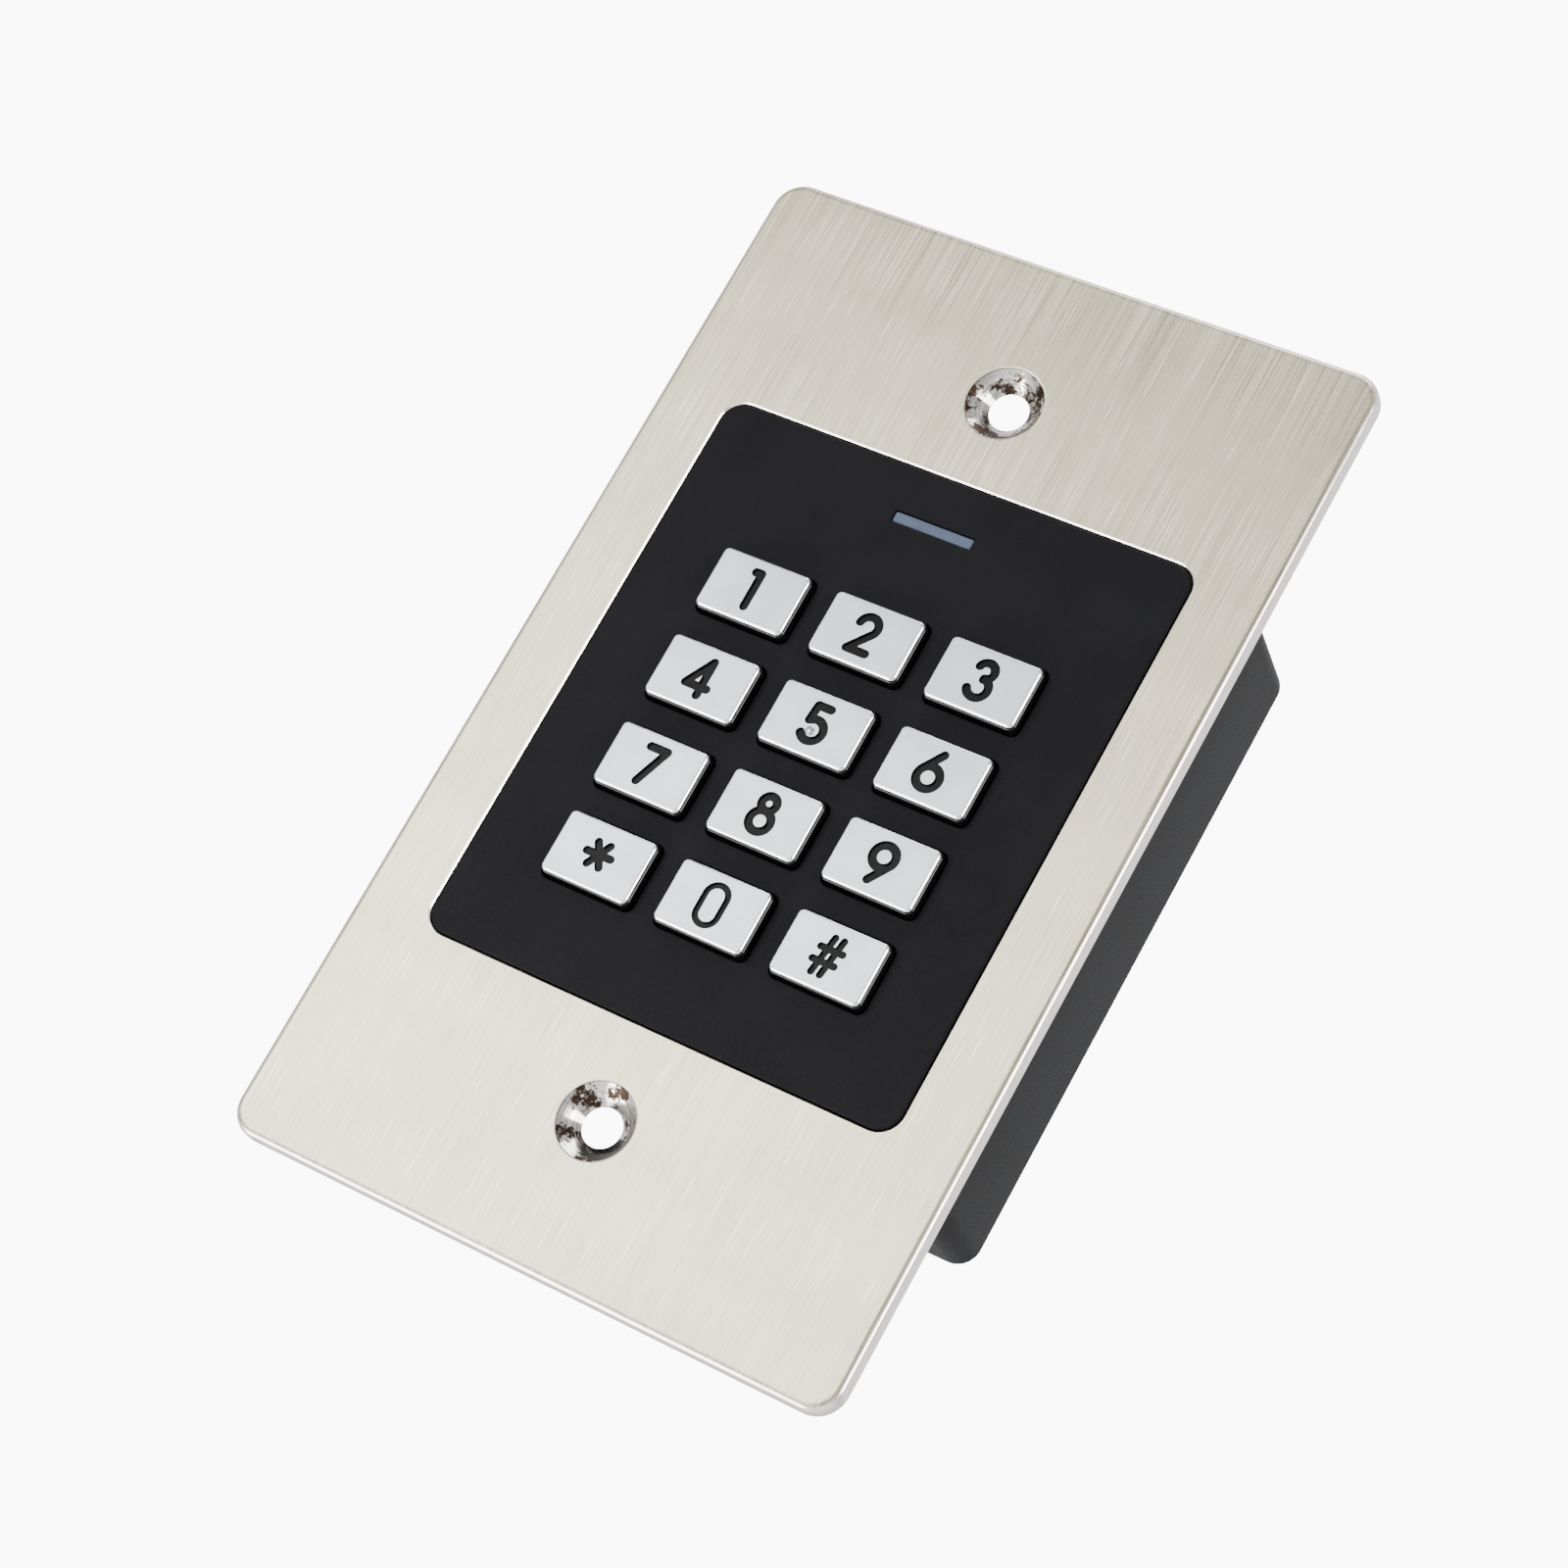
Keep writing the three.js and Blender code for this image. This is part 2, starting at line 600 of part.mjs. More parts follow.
function rearHousing() {
  const outer = roundedRectangle(HOUSING_W, HOUSING_H, HOUSING_R, 0, PANEL_Z);
  const w = HOUSING_W - 2 * HOUSING_WALL;
  const h = HOUSING_H - 2 * HOUSING_WALL;
  const inner = roundedRectangle(w, h, HOUSING_R - HOUSING_WALL, 0, PANEL_Z);
  const floor = HOUSING_REAR - HOUSING_FLOOR;
  const shell = cut(
    slab(outer, FLANGE_REAR, HOUSING_REAR),
    slab(inner, FLANGE_REAR - THROUGH, floor),
  );
  const towers = BOSS_PLACES.map(([x, z]) => {
    const r = HOUSING_SCREW_HEAD_R + SCREW_CLEARANCE + HOUSING_WALL;
    return rod(r, BOSS_END, floor + HOUSING_FLOOR / 2, x, z);
  });
  const inside = slab(outer, FLANGE_REAR - THROUGH, HOUSING_REAR);
  const bores = BOSS_PLACES.flatMap(([x, z]) => {
    const shankR = HOUSING_SCREW_R + SCREW_CLEARANCE;
    const headR = HOUSING_SCREW_HEAD_R + SCREW_CLEARANCE;
    return [
      rod(shankR, BOSS_END - THROUGH, HEAD_SEAT + THROUGH, x, z),
      rod(headR, HEAD_SEAT, HOUSING_REAR + THROUGH, x, z),
    ];
  });
  const outlet = rod(OUTLET_HOLE_R, floor - THROUGH, HOUSING_REAR + THROUGH, 0, OUTLET_Z);
  const sight = rod(SIGHT_R, floor - THROUGH, HOUSING_REAR + THROUGH, SIGHT_X, SIGHT_Z);
  const solidTowers = join(...towers).intersect(inside);
  return cut(join(shell, solidTowers), ...bores, outlet, sight);
}

function cableGrommet() {
  const floor = HOUSING_REAR - HOUSING_FLOOR;
  const neckR = OUTLET_HOLE_R - TOUCH_GAP;
  const lipR = OUTLET_HOLE_R + GROMMET_LIP;
  return turned([
    [GROMMET_BORE_R, floor - GROMMET_LIP_T],
    [lipR, floor - GROMMET_LIP_T],
    [lipR, floor],
    [neckR, floor],
    [neckR, HOUSING_REAR],
    [lipR, HOUSING_REAR],
    [neckR, HOUSING_REAR + GROMMET_LIP_T],
    [GROMMET_BORE_R, HOUSING_REAR + GROMMET_LIP_T],
    [GROMMET_BORE_R, floor - GROMMET_LIP_T],
  ], 0, OUTLET_Z);
}

function housingScrew(x, z) {
  const shankFront = HEAD_SEAT - HOUSING_SCREW_L;
  const headRear = HEAD_SEAT + HOUSING_SCREW_HEAD_T;
  const slotFloor = headRear - SLOT_DEPTH;
  const slot = block(SLOT_L, SLOT_W, slotFloor, headRear + THROUGH, x, z);
  const crossSlot = block(SLOT_W, SLOT_L, slotFloor, headRear + THROUGH, x, z);
  return cut(
    join(
      rod(HOUSING_SCREW_R, shankFront, HEAD_SEAT + TOUCH_GAP, x, z),
      rod(HOUSING_SCREW_HEAD_R, HEAD_SEAT, headRear, x, z),
    ),
    slot,
    crossSlot,
  );
}

// ---------- Assembly ----------

addPiece('face_plate', facePlate(), 'steel');
addPiece('plate_gasket', plateGasket(), 'foam');
addPiece('keypad_bezel', keypadBezel(), 'panel');
addPiece('led_light_pipe', lightPipe(), 'light');

const carrierSolid = keyBody();
for (const { name, x, z } of KEYS) {
  const key = new THREE.Group();
  key.position.set(x, 0, z);
  addPiece(`key_cap_${name}`, keyCap(name), 'silver', key);
  addPiece(`key_body_${name}`, carrierSolid, 'carrier', key);
  device.add(key);
  addPiece(`dome_${name}`, dome(x, z), 'rubber');
}

addPiece('keypad_membrane', keypadMembrane(), 'rubber');
addPiece('main_board', mainBoard(), 'board');
addPiece('status_led', statusLed(), 'lamp');
addPiece('card_coil', cardCoil(), 'copper');
addPiece('controller_chip', onBoard(CONTROLLER), 'chip');
addPiece('reader_chip', onBoard(READER_CHIP), 'chip');
addPiece('buzzer', buzzer(BUZZER), 'chip');
addPiece('lock_relay', onBoard(RELAY), 'relay');
addPiece('tamper_sensor', tamperSensor(), 'sensor');
addPiece('wire_header', wireHeader(HEADER), 'header');
addPiece('rear_housing', rearHousing(), 'housing');
addPiece('cable_grommet', cableGrommet(), 'rubber');

BOSS_PLACES.forEach(([x, z], i) => {
  addPiece(`housing_screw_${i + 1}`, housingScrew(x, z), 'screw');
});
POST_PLACES.forEach(([x, z], i) => {
  addPiece(`board_screw_${i + 1}`, boardScrew(x, z), 'screw');
});

export default device;
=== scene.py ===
"""Keypad access reader: the looks, in the frame of the CAD model.

+X right and +Z up as seen from the front, +Y into the wall. The plate's back face lies at y = 0.
Outlines are lists of (x, z) points in millimetres; Blender's own units are metres.
"""
import math

import bmesh
import bpy
from mathutils import Matrix, Vector


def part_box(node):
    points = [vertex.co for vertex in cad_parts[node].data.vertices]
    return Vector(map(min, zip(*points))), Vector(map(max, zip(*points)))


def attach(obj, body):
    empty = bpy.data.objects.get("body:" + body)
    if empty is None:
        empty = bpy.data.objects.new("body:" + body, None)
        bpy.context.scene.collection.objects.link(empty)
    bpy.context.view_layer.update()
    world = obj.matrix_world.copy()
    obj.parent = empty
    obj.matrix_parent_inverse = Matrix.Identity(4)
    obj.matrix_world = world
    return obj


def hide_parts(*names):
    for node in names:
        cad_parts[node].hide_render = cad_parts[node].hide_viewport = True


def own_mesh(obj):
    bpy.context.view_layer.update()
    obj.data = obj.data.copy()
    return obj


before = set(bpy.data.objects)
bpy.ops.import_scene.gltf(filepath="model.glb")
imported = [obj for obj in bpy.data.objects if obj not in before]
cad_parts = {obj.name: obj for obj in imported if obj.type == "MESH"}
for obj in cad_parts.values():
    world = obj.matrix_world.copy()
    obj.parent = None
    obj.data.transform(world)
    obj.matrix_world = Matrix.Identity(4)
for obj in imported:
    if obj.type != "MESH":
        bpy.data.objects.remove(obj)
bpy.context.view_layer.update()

MM = 0.001

# ---------- Sizes, millimetres ----------

PLATE_CORNER_R = 3.2
PLATE_EDGE_R = 0.8
PLATE_BACK_EDGE = 0.15
SCREW_SPACING = 83.3
SCREW_BORE_R = 2.1
SCREW_HEAD_R = 4.05

PANEL_W = 54.2
PANEL_H = 63.2
PANEL_R = 2.4
PANEL_GAP = 0.15
PANEL_SKIN = 1.8
PANEL_WALL = 1.3
PANEL_EDGE_R = 0.2
FLANGE_T = 1.6

HOUSING_R = 2.5
HOUSING_WALL = 1.8
HOUSING_FLOOR = 2
HOUSING_EDGE_R = 0.5
HOLE_LIP = 0.15
OUTLET_HOLE_R = 5.6
GROMMET_GAP = 0.3
GROMMET_BORE_R = 3.7
SIGHT_R = 2
RECESS_W = 36
RECESS_H = 17
RECESS_R = 1.5
RECESS_Z = 2
RECESS_DEPTH = 0.3
RECESS_SLOPE = 0.2

SCREW_NUMBERS = (1, 2, 3, 4)
SCREW_SHANK_R = 1.1
SCREW_HEAD_T = 1.6
SCREW_POINT_L = 1
THREAD_PITCH = 0.5
THREAD_DEPTH = 0.2
SLOT_L = 2.6
SLOT_W = 0.6
SLOT_DEPTH = 0.9
SCREW_SHANK_HOLE_R = 1.4
SCREW_HEAD_HOLE_R = 2.4
TOWER_R = 2.75
BOSS_R = 2.6
BOSS_END = 9

CAP_R = 0.65
CAP_TOP = 1.4
CAP_BEVEL = 0.25
SKIRT = 0.1
KEY_GAP = 0.2
KEY_FLANGE_T = 0.8
STEM_R = 1.9
CARRIER_EDGE = 0.12
DOME_TOP_R = 2.1
DOME_WALL = 0.5
DOME_HOLE_R = 0.2
LEGEND_DEPTH = 0.3
LEGEND_STROKE = 0.95
DOT_R = 0.5
DOT_RISE = 0.2
DOT_PLACE = (-0.1, -0.85)

LIGHT_W = 9
LIGHT_H = 1.15
LIGHT_R = 0.16
LIGHT_EDGE = 0.06
LIGHT_GAP = 0.08
LIGHT_FLANGE_T = 0.8
LIGHT_FLANGE_R = 0.3

SUPPORT = 0.12  # width of the flat strip beside a rounded edge, which keeps its shading crisp

KEY_NAMES = ["1", "2", "3", "4", "5", "6", "7", "8", "9", "star", "0", "hash"]


def span(node):
    """A node's middle x and z, width, height, front y and rear y, in millimetres."""
    low, high = ([c / MM for c in corner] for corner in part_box(node))
    middle_x, middle_z = (low[0] + high[0]) / 2, (low[2] + high[2]) / 2
    return middle_x, middle_z, high[0] - low[0], high[2] - low[2], low[1], high[1]


_, _, PLATE_W, PLATE_H, FRONT, WALL = span("face_plate")
_, PANEL_Z, HOUSING_W, HOUSING_H, FLANGE_REAR, HOUSING_REAR = span("rear_housing")
FLANGE_FRONT = FLANGE_REAR - FLANGE_T
SKIN_REAR = FRONT + PANEL_SKIN


# ---------- Outlines ----------

def rounded(w, h, r, x=0, z=0, steps=8):
    """A rectangle with rounded corners, anticlockwise from the front."""
    points = []
    for quarter, (sx, sz) in enumerate([(1, -1), (1, 1), (-1, 1), (-1, -1)]):
        cx, cz = x + sx * (w / 2 - r), z + sz * (h / 2 - r)
        for step in range(steps + 1):
            angle = math.radians(90 * (quarter - 1) + 90 * step / steps)
            points.append((cx + r * math.cos(angle), cz + r * math.sin(angle)))
    return points


def circle(r, x=0, z=0, steps=48):
    turns = [2 * math.pi * i / steps for i in range(steps)]
    return [(x + r * math.cos(a), z + r * math.sin(a)) for a in turns]


def arc(x, z, r, start, end, steps=24):
    angles = [math.radians(start + (end - start) * i / steps) for i in range(steps + 1)]
    return [(x + r * math.cos(a), z + r * math.sin(a)) for a in angles]


def quarter_round(r, steps=6):
    """Pairs of inset and depth that round an edge, from the flat face to the side."""
    angles = [math.pi / 2 * i / steps for i in range(steps + 1)]
    return [(r * (1 - math.sin(a)), r * (1 - math.cos(a))) for a in angles]


# ---------- Mesh building ----------

class Form:
    """A mesh under construction: outlines at a depth, joined by walls and closed by flat faces."""

    def __init__(self):
        self.bm = bmesh.new()

    def loop(self, points, y):
        return [self.bm.verts.new((x * MM, y * MM, z * MM)) for x, z in points]

    def ring(self, r, x, z, y, steps=48):
        return self.loop(circle(r, x, z, steps), y)

    def wall(self, loops, slot=0):
        """Joins each loop to the next."""
        for a, b in zip(loops, loops[1:]):
            for i in range(len(a)):
                j = (i + 1) % len(a)
                face = self.bm.faces.new((a[i], a[j], b[j], b[i]))
                face.material_index = slot
                face.smooth = True

    def flat(self, loops, slot=0):
        """Fills the first loop, less the loops inside it."""
        edges = []
        for loop in loops:
            for a, b in zip(loop, loop[1:] + loop[:1]):
                edges.append(self.bm.edges.get((a, b)) or self.bm.edges.new((a, b)))
        made = bmesh.ops.triangle_fill(self.bm, edges=edges, use_beauty=True)
        for item in made["geom"]:
            if isinstance(item, bmesh.types.BMFace):
                item.material_index = slot
                item.smooth = True

    def turned(self, profile, x, z, slot=0, steps=32, closed=False):
        """A solid of revolution about a line along Y; profile holds (radius, y) pairs."""
        loops = [self.loop(circle(r, x, z, steps), y) for r, y in profile]
        self.wall(loops + loops[:1] if closed else loops, slot)
        if not closed:
            self.flat(loops[:1], slot)
            self.flat(loops[-1:], slot)

    def prism(self, outline, front, rear, slot=0):
        loops = [self.loop(outline, front), self.loop(outline, rear)]
        self.wall(loops, slot)
        self.flat(loops[:1], slot)
        self.flat(loops[1:], slot)

    def make(self, name, *materials):
        bmesh.ops.recalc_face_normals(self.bm, faces=self.bm.faces)
        mesh = bpy.data.meshes.new(name)
        self.bm.to_mesh(mesh)
        self.bm.free()
        for material in materials:
            mesh.materials.append(material)
        piece = bpy.data.objects.new(name, mesh)
        bpy.context.scene.collection.objects.link(piece)
        return piece


def crisp(piece, angle=30):
    """Smooth shading except across edges sharper than the angle."""
    for face in piece.data.polygons:
        face.use_smooth = True
    piece.data.set_sharp_from_angle(angle=math.radians(angle))
    return piece


def apply_modifiers(piece):
    """Leaves the piece with the mesh that its modifiers make."""
    graph = bpy.context.evaluated_depsgraph_get()
    mesh = bpy.data.meshes.new_from_object(piece.evaluated_get(graph))
    piece.modifiers.clear()
    old = piece.data
    piece.data = mesh
    bpy.data.meshes.remove(old)


def carve(piece, cutter):
    """Cuts one mesh out of another. The cut faces take the cutter's material."""
    cut = piece.modifiers.new("cut", "BOOLEAN")
    cut.operation = "DIFFERENCE"
    cut.object = cutter
    cut.solver = "EXACT"
    cut.use_self = True
    cut.material_mode = "TRANSFER"
    apply_modifiers(piece)
    bpy.data.objects.remove(cutter)


def join(piece, other):
    """Makes one mesh of two that overlap."""
    union = piece.modifiers.new("join", "BOOLEAN")
    union.operation = "UNION"
    union.object = other
    union.solver = "EXACT"
    apply_modifiers(piece)
    bpy.data.objects.remove(other)


def place(piece, node, body="chassis"):
    """Puts a piece on its body, in place of a CAD node."""
    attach(piece, body)
    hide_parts(node)
    return piece


# ---------- Materials ----------

class Shader:
    """A node material: a Principled shader, and nodes added to it one by one."""

    def __init__(self, name, color, roughness, metallic=0.0, specular=0.5):
        self.material = bpy.data.materials.new(name)
        self.material.use_nodes = True
        self.nodes = self.material.node_tree.nodes
        self.links = self.material.node_tree.links
        self.bsdf = self.nodes["Principled BSDF"]
        self.set("Base Color", (*color, 1))
        self.set("Roughness", roughness)
        self.set("Metallic", metallic)
        self.set("Specular IOR Level", specular)
        self.place = self.nodes.new("ShaderNodeTexCoord").outputs["Object"]

    def set(self, socket, value):
        self.bsdf.inputs[socket].default_value = value

    def noise(self, size, detail=2.0, rough=0.5):
        """Noise whose grains are size millimetres across, along X, Y and Z."""
        mapping = self.nodes.new("ShaderNodeMapping")
        mapping.inputs["Scale"].default_value = [1 / (s * MM) for s in size]
        self.links.new(self.place, mapping.inputs["Vector"])
        noise = self.nodes.new("ShaderNodeTexNoise")
        noise.inputs["Scale"].default_value = 1.0
        noise.inputs["Detail"].default_value = detail
        noise.inputs["Roughness"].default_value = rough
        self.links.new(mapping.outputs["Vector"], noise.inputs["Vector"])
        return noise.outputs["Fac"]

    def ramp(self, value, stops):
        """Turns a value into a colour or a number, from (position, colour or number) stops."""
        ramp = self.nodes.new("ShaderNodeValToRGB")
        while len(ramp.color_ramp.elements) < len(stops):
            ramp.color_ramp.elements.new(0.5)
        for element, (position, color) in zip(ramp.color_ramp.elements, stops):
            element.position = position
            if isinstance(color, (int, float)):
                color = (color, color, color)
            element.color = (*color, 1)
        self.links.new(value, ramp.inputs["Fac"])
        return ramp.outputs["Color"]

    def mix(self, mode, factor, a, b):
        mix = self.nodes.new("ShaderNodeMix")
        mix.data_type = "RGBA"
        mix.blend_type = mode
        for socket, value in ((mix.inputs[0], factor), (mix.inputs[6], a), (mix.inputs[7], b)):
            if isinstance(value, bpy.types.NodeSocket):
                self.links.new(value, socket)
            elif isinstance(value, (int, float)):
                socket.default_value = value
            else:
                socket.default_value = (*value, 1)
        return mix.outputs[2]

    def link(self, value, socket):
        self.links.new(value, self.bsdf.inputs[socket])

    def bump(self, value, depth):
        """Raises the surface by depth millimetres where the value is 1."""
        bump = self.nodes.new("ShaderNodeBump")
        bump.inputs["Strength"].default_value = 1.0
        bump.inputs["Distance"].default_value = depth * MM
        self.links.new(value, bump.inputs["Height"])
        self.links.new(bump.outputs["Normal"], self.bsdf.inputs["Normal"])


def brushed_steel():
    look = Shader("brushed_steel", (0.62, 0.60, 0.57), 0.34, 1.0)
    fine = look.noise((0.09, 0.5, 22), 2, 0.6)
    coarse = look.noise((0.35, 1, 90), 1)
    clouds = look.noise((22, 20, 7), 1)
    hairs = look.noise((0.12, 0.5, 8), 1)
    tone = look.ramp(fine, [(0.32, (0.40, 0.362, 0.272)), (0.68, (0.75, 0.70, 0.555))])
    tone = look.mix("MULTIPLY", 1.0, tone, look.ramp(coarse, [(0.3, 0.89), (0.7, 1.0)]))
    tone = look.mix("MULTIPLY", 1.0, tone, look.ramp(clouds, [(0.38, 0.93), (0.62, 1.0)]))
    bright = look.ramp(hairs, [(0.64, 0.0), (0.73, 0.8)])
    tone = look.mix("MIX", bright, tone, (1.0, 0.97, 0.91))
    look.link(tone, "Base Color")
    look.link(look.ramp(fine, [(0.33, 0.30), (0.67, 0.44)]), "Roughness")
    look.bump(fine, 0.005)
    return look.material


def polished_edge():
    look = Shader("polished_edge", (0.88, 0.81, 0.78), 0.2, 1.0)
    marks = look.noise((2.5, 0.3, 2.5), 2)
    tone = look.ramp(marks, [(0.3, (0.82, 0.75, 0.72)), (0.7, (0.95, 0.90, 0.87))])
    look.link(tone, "Base Color")
    look.link(look.ramp(marks, [(0.3, 0.15), (0.7, 0.26)]), "Roughness")
    return look.material


def machined_sink():
    """Turned rings, with dark specks of old cutting oil and larger dark patches of painted shade
    that stand in for dark reflections on the cone.
    """
    look = Shader("machined_sink", (0.5, 0.48, 0.46), 0.12, 1.0)
    rings = look.noise((60, 0.2, 60), 2)
    specks = look.noise((0.4, 0.4, 0.4), 4, 0.7)
    painted_shade_patches = look.noise((2.4, 2.4, 2.4), 2)
    metal = look.ramp(rings, [(0.35, (0.36, 0.335, 0.31)), (0.65, (0.86, 0.84, 0.80))])
    # The dark mask is mostly the large patches, which are painted shade standing in for the cone's
    # dark reflections. Only the fine specks are oil stains. Both take the dark brown below.
    spread = look.mix("MIX", 0.72, look.ramp(specks, [(0.25, 0.0), (0.75, 1.0)]), painted_shade_patches)
    oil_and_painted_shade = look.ramp(spread, [(0.51, 0.0), (0.58, 1.0)])
    look.link(look.mix("MIX", oil_and_painted_shade, metal, (0.035, 0.022, 0.016)), "Base Color")
    look.link(look.mix("MIX", oil_and_painted_shade, (0.12, 0.12, 0.12), (0.4, 0.4, 0.4)), "Roughness")
    look.bump(rings, 0.01)
    return look.material


def moulded(name, color, roughness, specular=0.5, grain=0.12, depth=0.006):
    """Moulded plastic or rubber: a fine grain, and slow changes of tone."""
    look = Shader(name, color, roughness, 0.0, specular)
    texture = look.noise((grain, grain, grain), 2)
    slow = look.noise((9, 9, 9), 2)
    low = tuple(c * 0.85 for c in color)
    high = tuple(min(1.0, c * 1.12) for c in color)
    look.link(look.ramp(slow, [(0.35, low), (0.65, high)]), "Base Color")
    sheen = [(0.3, max(0.02, roughness - 0.06)), (0.7, roughness + 0.06)]
    look.link(look.ramp(texture, sheen), "Roughness")
    look.bump(texture, depth)
    return look.material


def satin_silver():
    look = Shader("satin_silver", (0.39, 0.42, 0.445), 0.3, 1.0)
    blast = look.noise((0.06, 0.06, 0.06), 2)
    slow = look.noise((4, 4, 4), 1)
    tone = look.ramp(slow, [(0.35, (0.345, 0.377, 0.40)), (0.65, (0.39, 0.422, 0.445))])
    look.link(tone, "Base Color")
    look.link(look.ramp(blast, [(0.3, 0.27), (0.7, 0.36)]), "Roughness")
    look.bump(blast, 0.002)
    return look.material


def chrome_bevel():
    look = Shader("chrome_bevel", (0.86, 0.87, 0.88), 0.1, 1.0)
    wear = look.noise((1.2, 1.2, 1.2), 2)
    tone = look.ramp(wear, [(0.3, (0.76, 0.77, 0.78)), (0.7, (0.90, 0.91, 0.92))])
    look.link(tone, "Base Color")
    look.link(look.ramp(wear, [(0.3, 0.08), (0.7, 0.16)]), "Roughness")
    return look.material


def frosted_light():
    look = Shader("frosted_light", (0.05, 0.075, 0.16), 0.35, 0.0, 0.2)
    look.set("Subsurface Weight", 0.25)
    look.set("Subsurface Scale", 1.5 * MM)
    glow = look.noise((5, 3, 2), 1)
    tone = look.ramp(glow, [(0.3, (0.06, 0.08, 0.13)), (0.7, (0.08, 0.105, 0.165))])
    look.link(tone, "Base Color")
    look.bump(look.noise((0.1, 0.1, 0.1), 2), 0.002)
    return look.material


def solder_mask():
    look = Shader("solder_mask", (0.02, 0.15, 0.06), 0.35)
    tracks = look.noise((1.4, 3, 0.8), 0)
    tone = look.ramp(tracks, [(0.48, (0.018, 0.13, 0.05)), (0.52, (0.03, 0.20, 0.08))])
    look.link(tone, "Base Color")
    look.bump(tracks, 0.01)
    return look.material


def enamelled_wire():
    look = Shader("enamelled_wire", (0.5, 0.2, 0.07), 0.3, 0.8)
    strands = look.noise((0.2, 0.2, 0.2), 1)
    tone = look.ramp(strands, [(0.35, (0.35, 0.12, 0.04)), (0.65, (0.62, 0.27, 0.10))])
    look.link(tone, "Base Color")
    look.bump(strands, 0.05)
    return look.material


def zinc_plate():
    look = Shader("zinc_plate", (0.6, 0.6, 0.58), 0.28, 1.0)
    marks = look.noise((0.5, 0.5, 0.5), 3)
    tone = look.ramp(marks, [(0.3, (0.46, 0.46, 0.44)), (0.7, (0.66, 0.66, 0.65))])
    look.link(tone, "Base Color")
    look.link(look.ramp(marks, [(0.3, 0.22), (0.7, 0.4)]), "Roughness")
    return look.material


STEEL = brushed_steel()
EDGE = polished_edge()
SINK = machined_sink()
PANEL = moulded("panel_black", (0.0045, 0.0046, 0.006), 0.5, 0.07, 0.16, 0.006)
KEY_BLACK = moulded("key_black", (0.004, 0.004, 0.0045), 0.2, 0.3, 0.5, 0.002)
LEGEND_BLACK = moulded("legend_black", (0.003, 0.003, 0.0035), 0.25, 0.07, 0.4, 0.004)
SILVER = satin_silver()
CHROME = chrome_bevel()
LIGHT = frosted_light()
HOUSING = moulded("housing_grey", (0.0075, 0.0077, 0.009), 0.5, 0.05, 0.25, 0.01)
RUBBER = moulded("grommet_rubber", (0.012, 0.012, 0.0125), 0.65, 0.4, 0.3, 0.01)
ZINC = zinc_plate()
CARRIED_OVER = {
    "plate_gasket": moulded("gasket_foam", (0.012, 0.012, 0.012), 0.9, 0.3, 0.3, 0.03),
    "keypad_membrane": moulded("silicone", (0.22, 0.23, 0.25), 0.6, 0.4, 0.3, 0.01),
    "main_board": solder_mask(),
    "status_led": moulded("lamp", (0.8, 0.77, 0.6), 0.25, 0.5, 0.4, 0.002),
    "card_coil": enamelled_wire(),
    "controller_chip": moulded("chip_black", (0.012, 0.012, 0.013), 0.5, 0.5, 0.1, 0.005),
    "reader_chip": bpy.data.materials["chip_black"],
    "buzzer": bpy.data.materials["chip_black"],
    "lock_relay": moulded("relay_blue", (0.01, 0.05, 0.25), 0.3, 0.5, 0.6, 0.004),
    "tamper_sensor": moulded("sensor_amber", (0.45, 0.2, 0.05), 0.25, 0.5, 0.5, 0.002),
    "wire_header": moulded("header_white", (0.72, 0.70, 0.63), 0.4, 0.5, 0.4, 0.004),
}
for number in SCREW_NUMBERS:
    CARRIED_OVER[f"board_screw_{number}"] = ZINC


# ---------- Plate ----------

def plate_outline(inset):
    w, h = PLATE_W - 2 * inset, PLATE_H - 2 * inset
    return rounded(w, h, PLATE_CORNER_R - inset, steps=14)


def window_outline(grow):
    w = PANEL_W + 2 * (PANEL_GAP + grow)
    h = PANEL_H + 2 * (PANEL_GAP + grow)
    return rounded(w, h, PANEL_R + PANEL_GAP + grow, 0, PANEL_Z, steps=12)


